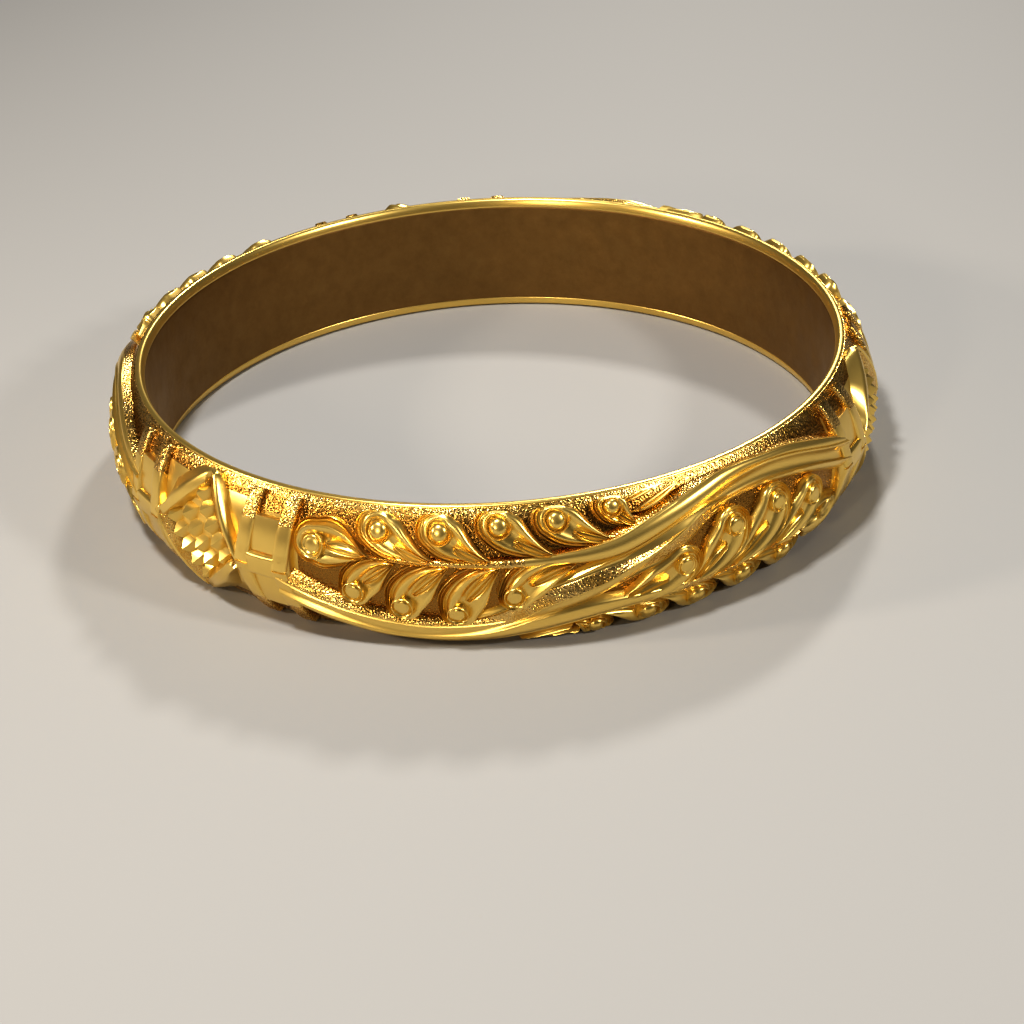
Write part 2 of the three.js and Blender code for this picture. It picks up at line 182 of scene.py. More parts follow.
# The width of each side of a vane along its length, from the eye to the tip, in units of the row's vane.
VANE_OUTLINES = {
    "rim": table(
        "share lined plain",
        (0.0, 0.96, 0.86),
        (0.12, 0.92, 0.92),
        (0.25, 0.82, 0.88),
        (0.45, 0.58, 0.68),
        (0.65, 0.35, 0.44),
        (0.85, 0.15, 0.18),
        (1.0, 0.02, 0.02),
    ),
    "inner": table(
        "share lined plain",
        (0.0, 1.05, 1.2),
        (0.16, 1.3, 1.36),
        (0.4, 1.2, 1.4),
        (0.58, 0.96, 1.22),
        (0.75, 0.66, 0.9),
        (0.9, 0.3, 0.44),
        (1.0, 0.05, 0.05),
    ),
    "end": table(
        "share lined plain",
        (0.0, 1.1, 0.74),
        (0.25, 1.26, 0.84),
        (0.5, 1.1, 0.62),
        (0.7, 0.74, 0.36),
        (0.85, 0.34, 0.18),
        (1.0, 0.03, 0.03),
    ),
}

# The section of each vane from its outline (0) to its spine (1), on the lined side and on the plain side.
VANE_SECTIONS = {
    "rim": table(
        "inward lined plain",
        (0.0, SUNK_EDGE, SUNK_EDGE),
        (0.035, 0.36, 0.26),
        (0.075, 0.64, 0.5),
        (0.13, 0.22, 0.66),
        (0.19, 0.7, 0.8),
        (0.26, 0.26, 0.88),
        (0.36, 0.44, 0.92),
        (0.5, 0.5, 0.84),
        (0.7, 0.4, 0.5),
        (1.0, 0.34, 0.34),
    ),
    "inner": table(
        "inward lined plain",
        (0.0, SUNK_EDGE, SUNK_EDGE),
        (0.04, 0.4, 0.3),
        (0.08, 0.6, 0.52),
        (0.135, 0.26, 0.68),
        (0.19, 0.66, 0.76),
        (0.25, 0.3, 0.78),
        (0.31, 0.68, 0.74),
        (0.39, 0.34, 0.64),
        (0.58, 0.8, 0.42),
        (0.8, 0.72, 0.34),
        (1.0, 0.36, 0.36),
    ),
    "end": table(
        "inward lined plain",
        (0.0, SUNK_EDGE, SUNK_EDGE),
        (0.035, 0.38, 0.38),
        (0.065, 0.6, 0.6),
        (0.11, 0.24, 0.24),
        (0.16, 0.62, 0.6),
        (0.21, 0.34, 0.32),
        (0.34, 0.86, 0.66),
        (0.48, 0.74, 0.58),
        (0.68, 0.28, 0.28),
        (1.0, 0.3, 0.3),
    ),
}
VANE_CELLS = {"tail": 24, "head": 22, "between_rows": 3}

# What is left of a vane's height at its tip.
VANE_TIP_HEIGHT = 0.72

# The lens-shaped lobe on a vane, as shares of the vane's length and in units of the row's vane.
LOBES = {
    "rim": dict(start=0.27, end=1.0, offset=0.05, half_width=0.2, lift=0.5, edge=0.2),
    "inner": dict(start=0.2, end=0.99, offset=-0.42, half_width=0.28, lift=0.52, edge=0.22),
    "end": dict(start=0.19, end=0.98, offset=0.16, half_width=0.28, lift=0.42, edge=0.22),
    "leaf": dict(start=0.0, end=1.0, offset=0.0, half_width=0.26, lift=0.62, edge=0.2),
}
LOBE_SECTION = table(
    "across lift",
    (-1.0, -2.5),
    (-0.86, 0.9),
    (-0.76, 1.0),
    (-0.6, 0.0),
    (0.0, 0.7),
    (0.6, 0.0),
    (0.76, 1.0),
    (0.86, 0.9),
    (1.0, -2.5),
)
LOBE_CELLS = {"along": 26, "between_rows": 2}

# A lobe's outline: how blunt its ends are, how much fuller it is near its start, and the part of half a wave
# that its offset follows. Its ends rise steeply from so many edge heights down, and its root is short.
LOBE_OUTLINE = {"blunt": 0.01, "fullness": 0.85, "wave_from": 0.15, "wave": 0.85}
LOBE_ENDS = {"steepness": 10, "sunk": 2.5, "root": 0.2}

# The leaves that trail from the last rim feather along the rim.
TRAILING_LEAVES = table(
    "along up tip_along tip_up vane",
    (3.0, 5.5, 10.5, 7.9, 2.1),
    (4.1, 4.6, 12.5, 6.5, 1.4),
)
LEAF_BOW = -0.1

# Sections of the eyes, from the outside in: radius as a share of the eye's, and millimetres up.
EYE_SECTIONS = {
    "ball": table(
        "radius lift",
        (1.0, 0.1),
        (0.99, 0.62),
        (0.95, 0.86),
        (0.9, 0.88),
        (0.85, 0.6),
        (0.79, 0.4),
        (0.74, 0.56),
        (0.58, 0.9),
        (0.3, 1.06),
    ),
    "button": table(
        "radius lift",
        (1.0, 0.1),
        (0.99, 0.66),
        (0.94, 0.88),
        (0.86, 0.88),
        (0.79, 0.6),
        (0.73, 0.56),
        (0.66, 0.76),
        (0.45, 0.82),
        (0.2, 0.83),
    ),
    "ring": table(
        "radius lift",
        (1.0, 0.1),
        (0.98, 0.56),
        (0.93, 0.76),
        (0.82, 0.72),
        (0.75, 0.42),
        (0.69, 0.6),
        (0.6, 0.72),
        (0.53, 0.5),
        (0.46, 0.56),
        (0.2, 0.62),
    ),
}
EYE_SIDES = 18

# The collars: degrees along from the ribbon's middle, and millimetres up. The ridges lean as they near a rim.
COLLAR = {
    "ridges": [44.5, 50.7],
    "lean": -0.2,
    "hammered_from": 3.6,
    "facet": dict(low=45.2, high=50.4, foot=0.9, top=4.15, foot_lift=0.5, top_lift=0.56),
    "patch": dict(low=45.0, high=50.0, foot=4.35, top=5.9, foot_lift=0.2, top_lift=0.12),
}
FACET_CELLS = {"along": 16, "up": 20}
BELLY = {"from": 42.9, "to": 52.3, "up": 1.2, "lift": 0.92, "waist": 0.14, "end_power": 12, "side_power": 8}
BELLY_CELLS = {"along": 40, "up": 24}
RIDGE_SECTION = table(
    "share lift",
    (-1.0, SUNK_EDGE),
    (-0.92, 0.5),
    (-0.8, 0.92),
    (-0.7, 0.98),
    (0.0, 1.0),
    (0.7, 0.98),
    (0.8, 0.92),
    (0.92, 0.5),
    (1.0, SUNK_EDGE),
)
RIDGE_FOOT = {"up": -0.1, "half_width": 0.86, "height": 0.86}
RIDGE_TOP = {"up": 6.6, "half_width": 0.78, "height": 0.5}
RIDGE_END = {"up": 1.3, "rise": 0.18}
RIDGE_CELLS = {"along": 36, "between_rows": 2}

# The lozenges: two corners as seen from the middle, in degrees and millimetres, and the studs.
LOZENGE_TOP = {"along": 1.8, "up": 6.1}
LOZENGE_RIGHT = {"along": 8.3, "up": -0.8}
STUD_ROWS = [
    dict(a=-0.58, middles=[-0.7, -0.35, 0.0, 0.35, 0.7]),
    dict(a=0.0, middles=[-0.525, -0.175, 0.175, 0.525]),
    dict(a=0.58, middles=[-0.7, -0.35, 0.0, 0.35, 0.7]),
]

# A stud's corners lie so far from its middle, in half lozenges. Its point is blunt, and its edges are cut up.
STUD_REACH = 0.3
STUD_POINT = 0.05
STUD_CUTS = 3


def corners_of(piece):
    """The corners of a mesh as rows of x, y and z."""
    flat = np.empty(len(piece.data.vertices) * 3)
    piece.data.vertices.foreach_get("co", flat)
    return flat.reshape(-1, 3)


def move_corners(piece, corners):
    piece.data.vertices.foreach_set("co", np.asarray(corners, float).ravel())
    piece.data.update()


def deselect():
    for thing in bpy.context.selected_objects:
        thing.select_set(False)


def choose(piece):
    deselect()
    piece.select_set(True)
    bpy.context.view_layer.objects.active = piece


def read_table(rows, column, by, at):
    """A column of a table between its rows, read smoothly at values of another column."""
    known = np.array([row[by] for row in rows], float)
    values = np.array([row[column] for row in rows], float)
    index = np.clip(np.searchsorted(known, at, side="right") - 1, 0, len(rows) - 2)
    slopes = np.gradient(values, known)
    span = known[index + 1] - known[index]
    f = (np.asarray(at, float) - known[index]) / span
    low, high = values[index], values[index + 1]
    rise_low, rise_high = slopes[index] * span, slopes[index + 1] * span
    return (
        low * (1 + 2 * f) * (1 - f) ** 2
        + rise_low * f * (1 - f) ** 2
        + high * f ** 2 * (3 - 2 * f)
        + rise_high * f ** 2 * (f - 1)
    )


def on_dome(flat, middle, flip):
    """Flat ornament, in millimetres along, up and out, laid on the dome round a middle angle, in metres."""
    along, up, lift = flip * flat[:, 0], flip * flat[:, 1], flat[:, 2]
    over = np.maximum(np.abs(up) - SQUEEZE_FROM, 0)
    drawn_in = np.minimum(np.abs(up), SQUEEZE_FROM) + SQUEEZE_ROOM * np.tanh(over / SQUEEZE_ROOM)
    lean = np.sign(up) * drawn_in / DOME_RADIUS
    turn = math.radians(middle) + along / CREST_RADIUS
    ceiling = (HALF_WIDTH - RIM_MARGIN) / np.maximum(np.abs(np.sin(lean)), TINY)
    reach = np.minimum(DOME_RADIUS + lift, ceiling)
    radius = CREST_RADIUS - DOME_RADIUS + reach * np.cos(lean)
    height = HALF_WIDTH + reach * np.sin(lean)
    return np.stack([radius * np.sin(turn), -radius * np.cos(turn), height], 1) * MM


def add_sheet(name, cells_along, cells_across, shape):
    """A flat grid whose corners are placed by shape(s, q), with s and q from 0 to 1."""
    deselect()
    bpy.ops.mesh.primitive_grid_add(x_subdivisions=cells_along, y_subdivisions=cells_across, size=2)
    sheet = bpy.context.object
    sheet.name = name
    corners = corners_of(sheet)
    move_corners(sheet, shape((corners[:, 0] + 1) / 2, (corners[:, 1] + 1) / 2))
    return sheet


def close_below(sheet, depth=ROOT_DEPTH):
    """The open edge of a sheet goes down to its root and is filled, so that the form is one closed body."""
    choose(sheet)
    bpy.ops.object.mode_set(mode="EDIT")
    bpy.ops.mesh.select_mode(type="VERT")
    bpy.ops.mesh.select_all(action="SELECT")
    bpy.ops.mesh.remove_doubles(threshold=WELD)
    bpy.ops.mesh.select_all(action="SELECT")
    bpy.ops.mesh.region_to_loop()
    bpy.ops.mesh.extrude_edges_move(TRANSFORM_OT_translate={"value": (0, 0, -depth)})
    bpy.ops.transform.resize(value=(1, 1, 0), center_override=(0, 0, -depth))
    bpy.ops.mesh.edge_face_add()
    bpy.ops.mesh.quads_convert_to_tris(quad_method="BEAUTY", ngon_method="BEAUTY")
    bpy.ops.mesh.select_all(action="SELECT")
    bpy.ops.mesh.normals_make_consistent(inside=False)
    bpy.ops.object.mode_set(mode="OBJECT")
    return sheet


def refine(piece, levels):
    """A subdivision surface rounds the form, and is applied."""
    choose(piece)
    rounding = piece.modifiers.new("rounding", "SUBSURF")
    rounding.levels = levels
    rounding.render_levels = levels
    rounding.boundary_smooth = "PRESERVE_CORNERS"
    bpy.ops.object.modifier_apply(modifier=rounding.name)
    return piece


def copy_of(template, corners, name):
    """A copy of a modelled form with its own mesh and its own place."""
    copy = template.copy()
    copy.data = template.data.copy()
    copy.name = name
    bpy.context.scene.collection.objects.link(copy)
    move_corners(copy, corners)
    return copy


def lay_round(template, name, places, corners=None):
    """Copies of a flat form, one for each place round the ring."""
    flat = corners_of(template) if corners is None else corners
    return [copy_of(template, on_dome(flat, middle, flip), name) for middle, flip in places]


def joined(copies, name):
    deselect()
    for copy in copies:
        copy.select_set(True)
    bpy.context.view_layer.objects.active = copies[0]
    bpy.ops.object.join()
    piece = bpy.context.object
    piece.name = name
    piece.data.name = name
    return piece


def remove(*templates):
    for template in templates:
        bpy.data.objects.remove(template)


def face_centres(piece):
    centres = np.empty(len(piece.data.polygons) * 3)
    piece.data.polygons.foreach_get("center", centres)
    return centres.reshape(-1, 3).T


def set_finishes(piece, context, hammered):
    """The piece is polished, with a hammered finish on the faces where hammered is true."""
    for gold in ("polished_gold", "stippled_gold"):
        piece.data.materials.append(gold_finish(context, gold))
    finish = np.broadcast_to(hammered, len(piece.data.polygons)).astype(np.int32)
    piece.data.polygons.foreach_set("material_index", finish)
    piece.data.update()


def paint_faces(piece, context, chosen):
    """A flat form is hammered on the faces for which chosen(along, up) is true."""
    along, up, lift = face_centres(piece)
    set_finishes(piece, context, chosen(along / MM_PER_DEGREE, up))


def finish_piece(piece, context, slot, crease=50):
    """Shading, place in the frame and the band hidden for a finished piece, and the slot's gold if it has no
    finish.
    """
    choose(piece)
    bpy.ops.object.shade_smooth_by_angle(angle=math.radians(crease))
    if not piece.data.materials:
        piece.data.materials.append(gold_finish(context, slot))
    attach(piece, "root")
    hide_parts("band")


# The ring: wrist side, lips and ground.

RING_STEPS = 360
GROUND = {"cells": 36, "short_of_rim": 0.02, "thickness": 0.3}

# The ground is smooth round the lozenges, from so many degrees off a ribbon and up to so far from mid-width.
SMOOTH_GROUND = {"from": 42.0, "half_width": 4.9}


def turned_ring(name, section):
    """A closed section of (radius, height) pairs in millimetres, spun once round the axis."""
    deselect()
    bpy.ops.mesh.primitive_circle_add(vertices=len(section), radius=1)
    ring = bpy.context.object
    ring.name = name
    radii, heights = np.array(section).T
    move_corners(ring, np.stack([radii, 0 * radii, heights], 1) * MM)
    bpy.ops.object.mode_set(mode="EDIT")
    bpy.ops.mesh.select_all(action="SELECT")
    bpy.ops.mesh.spin(steps=RING_STEPS, angle=math.tau, center=(0, 0, 0), axis=(0, 0, 1))
    bpy.ops.mesh.select_all(action="SELECT")
    bpy.ops.mesh.remove_doubles(threshold=WELD * MM)
    bpy.ops.mesh.normals_make_consistent(inside=False)
    bpy.ops.object.mode_set(mode="OBJECT")
    return ring


def mirrored_section(upper):
    """A section drawn for its upper half, with the lower half mirrored at mid-width."""
    return upper + [(radius, BAND_WIDTH - height) for radius, height in reversed(upper)]


def build_wrist_wall(context):
    wall_top = BAND_WIDTH - CHAMFER["height"]
    section = mirrored_section([
        (OPENING_RADIUS + 0.75, HALF_WIDTH + 0.6),
        (OPENING_RADIUS + 0.75, wall_top - 0.1),
        (OPENING_RADIUS + 0.12, wall_top + 0.02),
        (OPENING_RADIUS + 0.04, wall_top - 0.06),
        (OPENING_RADIUS + 0.01, wall_top - 0.3),
        (OPENING_RADIUS, HALF_WIDTH + 0.6),
    ])
    wall = turned_ring("wrist_wall", section)
    finish_piece(wall, context, "satin_gold")


def build_lips(context):
    """The polished chamfer and the narrow land at each edge."""
    rim = RIM_RADIUS
    wall_top = BAND_WIDTH - CHAMFER["height"]
    upper = [
        (OPENING_RADIUS + 0.6, wall_top - 0.3),
        (OPENING_RADIUS + 0.08, wall_top - 0.14),
        (OPENING_RADIUS - 0.01, wall_top - 0.02),
        (OPENING_RADIUS + 0.02, wall_top + 0.12),
        (OPENING_RADIUS + 0.09, wall_top + 0.4),
        (OPENING_RADIUS + 0.19, wall_top + 0.64),
        (OPENING_RADIUS + CHAMFER["depth"], BAND_WIDTH - 0.03),
        (OPENING_RADIUS + 0.42, BAND_WIDTH),
        (rim - 0.16, BAND_WIDTH),
        (rim - 0.05, BAND_WIDTH - 0.03),
        (rim + 0.03, BAND_WIDTH - 0.12),
        (rim + 0.06, BAND_WIDTH - 0.24),
        (rim + 0.02, BAND_WIDTH - 0.36),
        (rim - 0.1, BAND_WIDTH - 0.45),
    ]
    lower = [(radius, BAND_WIDTH - height) for radius, height in upper]
    lips = joined([turned_ring("lip", upper), turned_ring("lip", lower)], "rim_lips")
    finish_piece(lips, context, "polished_gold")


def build_ground(context):
    """The domed ground between the ornaments, hammered apart from a smooth stretch round each lozenge."""
    leans = np.linspace(-1, 1, GROUND["cells"] + 1) * (DOME_LEAN - GROUND["short_of_rim"])
    radii = CREST_RADIUS - DOME_RADIUS * (1 - np.cos(leans))
    heights = HALF_WIDTH + DOME_RADIUS * np.sin(leans)
    inside = RIM_RADIUS - GROUND["thickness"]
    back = [(inside, heights[-1]), (inside, heights[0])]
    ground = turned_ring("ground", list(zip(radii, heights)) + back)
    x, y, z = face_centres(ground)
    off_ribbon = np.degrees(np.arctan2(x, -y)) - FIRST_RIBBON_AT
    off_ribbon = (off_ribbon + LOZENGE_TURN) % (2 * LOZENGE_TURN) - LOZENGE_TURN
    near_rim = np.abs(z / MM - HALF_WIDTH) > SMOOTH_GROUND["half_width"]
    # The smooth polished stretch lies low on the dome, so its colour is painted shade all over.
    set_finishes(ground, context, (np.abs(off_ribbon) < SMOOTH_GROUND["from"]) | near_rim)
    finish_piece(ground, context, "stippled_gold")


# The strands.

# The ribbon's section: -1 is the foot, 0 the crest line, 1 the top of the bevel, 2 the ridge, 3 its own foot.
RIBBON_SECTION = table(
    "across proud",
    (-1.0, 0.0),
    (-0.8, 0.16),
    (-0.5, 0.24),
    (-0.25, 0.16),
    (-0.08, 0.07),
    (0.0, 0.06),
    (0.12, 0.02),
    (0.5, -0.17),
    (0.9, -0.36),
    (1.0, -0.4),
    (1.15, -0.45),
    (1.5, -0.42),
    (1.82, -0.16),
    (1.94, 0.02),
    (2.0, 0.05),
    (2.1, 0.04),
    (2.4, 0.14),
    (2.7, 0.12),
    (3.0, 0.0),
)
RIBBON_CELLS = {"along": 150, "between_rows": 2}

# The wall beyond the ribbon's ridge is so wide.
RIDGE_WALL = 0.45

# Where the strands are hammered. On a bevel at least so wide, from so far off the crest to so far past the
# bevel. On the lower wall, from so many degrees along and so far under the crest. On a stem, short of so many
# degrees along, and from so many half widths off its middle.
HAMMERED = {
    "off_crest": 0.04,
    "past_bevel": 0.05,
    "least_bevel": 0.15,
    "wall_from": 12.0,
    "under_crest": 0.1,
    "thin_end": -11.0,
    "off_middle": 1.1,
}

# A strand's section: -1 to 1 is its rounded back, and 2 is the foot of the wall on each side.
STRAND_SECTION = table(
    "across height",
    (-2.0, 0.0),
    (-1.55, 0.42),
    (-1.15, 0.74),
    (-0.95, 0.84),
    (-0.6, 0.95),
    (0.0, 1.0),
    (0.6, 0.94),
    (0.88, 0.84),
    (1.0, 0.87),
    (1.1, 0.78),
    (1.55, 0.4),
    (2.0, 0.0),
)
STRAND_CELLS = {"along": 170, "between_rows": 2}

# A stem's lower wall is so wide where its half width is full, and as much narrower where the stem is.
LOWER_WALL = 0.35
FULL_STRAND = 0.6

# The way a stem runs is read between two places, each so many degrees off.
LINE_STEP = 0.1


def spread(knots, share):
    """Places between knots, with as many cells between each pair."""
    return np.interp(share, np.linspace(0, 1, len(knots)), knots)


def ribbon_strand(dip):
    first, last = RIBBON[0]["along"], RIBBON[-1]["along"]
    knots = [row["across"] for row in RIBBON_SECTION]

    def shape(s, q):
        along = first + (last - first) * s
        across = spread(knots, q)
        foot, crest, bevel, ridge, crest_lift, ridge_lift = (
            read_table(RIBBON, column, "along", along)
            for column in ("foot", "crest", "bevel", "ridge", "crest_lift", "ridge_lift")
        )
        below, in_bevel = np.clip(-across, 0, 1), np.clip(across, 0, 1)
        above, beyond = np.clip(across - 1, 0, 1), np.clip(across - 2, 0, 1)
        up = crest + below * (foot - crest) + in_bevel * (bevel - crest)
        up += above * (ridge - bevel) + beyond * RIDGE_WALL
        top = crest_lift + above * (ridge_lift - crest_lift)
        edge = np.maximum(below, beyond)
        proud = read_table(RIBBON_SECTION, "proud", "across", across)
        lift = top * (1 - edge) + SUNK_EDGE * edge + proud * top
        under = 1 - dip * np.exp(-(along / DIP["reach"]) ** 2)
        return np.stack([along * MM_PER_DEGREE, up, np.where(lift > 0, lift * under, lift)], 1)

    cells_across = RIBBON_CELLS["between_rows"] * (len(knots) - 1)
    return close_below(add_sheet("ribbon_strand", RIBBON_CELLS["along"], cells_across, shape))


def stem_strand(up_column):
    first, last = STEM[0]["along"], STEM[-1]["along"]
    knots = [row["across"] for row in STRAND_SECTION]

    def line(along):
        return np.stack([along * MM_PER_DEGREE, read_table(STEM, up_column, "along", along)], 1)

    def shape(s, q):
        along = first + (last - first) * s
        across = spread(knots, q)
        ahead = line(np.minimum(along + LINE_STEP, last)) - line(np.maximum(along - LINE_STEP, first))
        ahead /= np.linalg.norm(ahead, axis=1)[:, None]
        half_width, height, upper_wall = (
            read_table(STEM, column, "along", along) for column in ("half_width", "height", "wall")
        )
        wall = np.where(across > 0, upper_wall, LOWER_WALL * half_width / FULL_STRAND)
        down_wall = np.clip(np.abs(across) - 1, 0, 1)
        side = np.clip(across, -1, 1) * half_width + np.sign(across) * down_wall * wall
        middle = line(along)
        share = read_table(STRAND_SECTION, "height", "across", across)
        lift = height * share + SUNK_EDGE * (1 - share)
        return np.stack([middle[:, 0] - ahead[:, 1] * side, middle[:, 1] + ahead[:, 0] * side, lift], 1)

    cells_across = STRAND_CELLS["between_rows"] * (len(knots) - 1)
    return close_below(add_sheet("stem_strand", STRAND_CELLS["along"], cells_across, shape))


def hammered_bevel(along, up):
    """The bevel above the crest line, where it is wide."""
    crest, bevel = (read_table(RIBBON, column, "along", along) for column in ("crest", "bevel"))
    on_bevel = (up > crest + HAMMERED["off_crest"]) & (up < bevel + HAMMERED["past_bevel"])
    return on_bevel & (bevel > crest + HAMMERED["least_bevel"])


def hammered_wall(along, up):
    """The bevel, and the wall between the ground and the crest line of the strand that passes under."""
    crest = read_table(RIBBON, "crest", "along", along)
    wall = (along > HAMMERED["wall_from"]) & (up < crest - HAMMERED["under_crest"])
    return wall | hammered_bevel(along, up)


def hammered_side(up_column):
    """The side of a stem towards its rim, and the whole of its thin end."""
    def chosen(along, up):
        middle = read_table(STEM, up_column, "along", along)
        half_width = read_table(STEM, "half_width", "along", along)
        return (along < HAMMERED["thin_end"]) | (up > middle + HAMMERED["off_middle"] * half_width)

    return chosen


def build_ribbons(context):
    over, under = ribbon_strand(0), ribbon_strand(DIP["depth"])
    paint_faces(over, context, hammered_bevel)
    paint_faces(under, context, hammered_wall)
    for k, (upright, turned) in enumerate(zip(UPRIGHT, TURNED), 1):
        strands = lay_round(over, "strand", [upright]) + lay_round(under, "strand", [turned])
        finish_piece(joined(strands, f"ribbon_{k}"), context, "polished_gold", crease=35)
    remove(over, under)


def build_stems(context):
    copies = []
    for up_column, places in (("up", UPRIGHT), ("turned_up", TURNED)):
        strand = stem_strand(up_column)
        paint_faces(strand, context, hammered_side(up_column))
        copies += lay_round(strand, "strand", places)
        remove(strand)
    finish_piece(joined(copies, "plume_stems"), context, "polished_gold")


# The feathers.

def smooth_step(share):
    return share * share * (3 - 2 * share)


def vane_template(kind, lined_side):
    """A straight feather: x is a share of its length, and behind the eye it is in units of width, as y is."""
    rows, outline = VANE_SECTIONS[kind], VANE_OUTLINES[kind]
    tail, head = VANE_CELLS["tail"], VANE_CELLS["head"]
    around = 2 * tail + head

    def shape(u, v):
        step = u * around
        inward = spread([row["inward"] for row in rows], v)
        share = np.maximum(np.clip(1 - step / tail, 0, 1), np.clip((step - tail - head) / tail, 0, 1))
        round_head = np.clip((step - tail) / head, 0, 1)
        plain = smooth_step(round_head)
        width = (
            read_table(outline, "lined", "share", share) * (1 - plain)
            + read_table(outline, "plain", "share", share) * plain
            + BACK_BULGE[kind] * np.sin(math.pi * round_head)
        ) * (1 - inward)
        angle = math.pi * (0.5 + round_head)
        on_tail = (step <= tail) | (step >= tail + head)
        side = np.where(step < around / 2, 1.0, -1.0)
        x = np.where(on_tail, share, np.cos(angle) * width)
        y = np.where(on_tail, side * width, np.sin(angle) * width)
        lift = (
            read_table(rows, "lined", "inward", inward) * (1 - plain)
            + read_table(rows, "plain", "inward", inward) * plain
        )
        fade = 1 - (1 - VANE_TIP_HEIGHT) * share ** 2
        return np.stack([x, lined_side * y, np.where(lift > 0, lift * fade, lift)], 1)

    across = VANE_CELLS["between_rows"] * (len(rows) - 1)
    return close_below(add_sheet("vane_" + kind, around, across, shape))


def lobe_template(kind, lined_side):
    """The lens-shaped lobe on a vane, with a fine raised outline, in the vane's own units."""
    lobe = LOBES[kind]

    def shape(s, q):
        across = spread([row["across"] for row in LOBE_SECTION], q)
        x = lobe["start"] + (lobe["end"] - lobe["start"]) * s
        between = np.clip(s, LOBE_OUTLINE["blunt"], 1 - LOBE_OUTLINE["blunt"])
        lens = np.sin(math.pi * between ** LOBE_OUTLINE["fullness"])
        wave = np.sin(math.pi * (LOBE_OUTLINE["wave_from"] + LOBE_OUTLINE["wave"] * s))
        y = lobe["offset"] * wave + lobe["half_width"] * lens * across
        inner = np.minimum(1, LOBE_ENDS["steepness"] * np.minimum(s, 1 - s))
        relief = read_table(LOBE_SECTION, "lift", "across", across)
        lift = lobe["lift"] + lobe["edge"] * (relief * inner - LOBE_ENDS["sunk"] * (1 - inner))
        return np.stack([x, lined_side * y, lift], 1)

    across = LOBE_CELLS["between_rows"] * (len(LOBE_SECTION) - 1)
    return close_below(add_sheet("lobe_" + kind, LOBE_CELLS["along"], across, shape), LOBE_ENDS["root"])


def bent(template, row, bow):
    """The corners of a straight feather, bent along its own line and scaled to its own width."""
    local = corners_of(template)
    eye = np.array([row["along"] * MM_PER_DEGREE, row["up"]])
    tip = np.array([row["tip_along"] * MM_PER_DEGREE, row["tip_up"]])
    run = tip - eye
    bend = eye + run / 2 + bow * np.array([-run[1], run[0]])
    s = np.clip(local[:, :1], 0, 1)
    line = (1 - s) ** 2 * eye + 2 * s * (1 - s) * bend + s ** 2 * tip
    ahead = 2 * (1 - s) * (bend - eye) + 2 * s * (tip - bend)
    ahead /= np.linalg.norm(ahead, axis=1)[:, None]
    left = np.stack([-ahead[:, 1], ahead[:, 0]], 1)
    behind = np.minimum(local[:, :1], 0) * row["vane"]
    flat = line + ahead * behind + left * local[:, 1:2] * row["vane"]
    return np.column_stack([flat, local[:, 2]])


def lay_feathers(context, name, kind, rows_and_places, lined_side):
    vane = vane_template(kind, lined_side)
    lobe = lobe_template(kind, lined_side)
    copies = []
    for rows, places in rows_and_places:
        for row in rows:
            for template in (vane, lobe):
                copies += lay_round(template, name, places, bent(template, row, BOW[kind]))
    remove(vane, lobe)
    finish_piece(joined(copies, name), context, "polished_gold", crease=40)


def build_rim_feathers(context):
    for k, (upright, turned) in enumerate(zip(UPRIGHT, TURNED), 1):
        rows = [(RIM_FEATHERS, [upright]), (TURNED_RIM_FEATHERS, [turned])]
        lay_feathers(context, f"rim_feathers_{k}", "rim", rows, -1)
    leaf = lobe_template("leaf", 1)
    copies = []
    for row in TRAILING_LEAVES:
        copies += lay_round(leaf, "leaf", UPRIGHT + TURNED, bent(leaf, row, LEAF_BOW))
    remove(leaf)
    finish_piece(joined(copies, "trailing_leaves"), context, "polished_gold", crease=40)


def build_inner_feathers(context):
    for k, (upright, turned) in enumerate(zip(UPRIGHT, TURNED), 1):
        rows = [(UPPER_INNER_FEATHERS, [upright]), (TURNED_INNER_FEATHERS, [turned])]
        lay_feathers(context, f"inner_feathers_{k}", "inner", rows, 1)


def build_end_feathers(context):
    lay_feathers(context, "end_feathers", "end", [(END_FEATHERS, UPRIGHT + TURNED)], 1)


def eye_template(kind):
    """A round eye, extruded and drawn in ring by ring from its root."""
    deselect()
    bpy.ops.mesh.primitive_circle_add(vertices=EYE_SIDES, radius=1, fill_type="NGON")
    eye = bpy.context.object
    eye.name = "eye_" + kind
    bpy.ops.object.mode_set(mode="EDIT")
    bpy.ops.mesh.select_mode(type="FACE")
    bpy.ops.mesh.select_all(action="SELECT")
    bpy.ops.transform.translate(value=(0, 0, -ROOT_DEPTH))
    radius, height = 1.0, -ROOT_DEPTH
    for row in EYE_SECTIONS[kind]:
        bpy.ops.mesh.extrude_region_move(TRANSFORM_OT_translate={"value": (0, 0, row["lift"] - height)})
        scale = row["radius"] / radius
        bpy.ops.transform.resize(value=(scale, scale, 1), center_override=(0, 0, row["lift"]))
        radius, height = row["radius"], row["lift"]
    bpy.ops.mesh.select_all(action="SELECT")
    bpy.ops.mesh.normals_make_consistent(inside=False)
    bpy.ops.object.mode_set(mode="OBJECT")
    return refine(eye, 1)


def lay_eyes(context, name, kind, rows_and_places):
    template = eye_template(kind)
    copies = []
    for rows, places in rows_and_places:
        for row in rows:
            corners = corners_of(template) * [row["eye"], row["eye"], 1]
            corners += [row["along"] * MM_PER_DEGREE, row["up"], 0]
            copies += lay_round(template, name, places, corners)
    remove(template)
    finish_piece(joined(copies, name), context, "polished_gold")


def build_eyes(context):
    lay_eyes(context, "rim_eyes", "ball", [(RIM_FEATHERS, UPRIGHT + TURNED)])
    inner = [(UPPER_INNER_FEATHERS, UPRIGHT), (TURNED_INNER_FEATHERS, TURNED)]
    lay_eyes(context, "inner_eyes", "button", inner)
    lay_eyes(context, "end_eyes", "ring", [(END_FEATHERS, UPRIGHT + TURNED)])


# The collars.

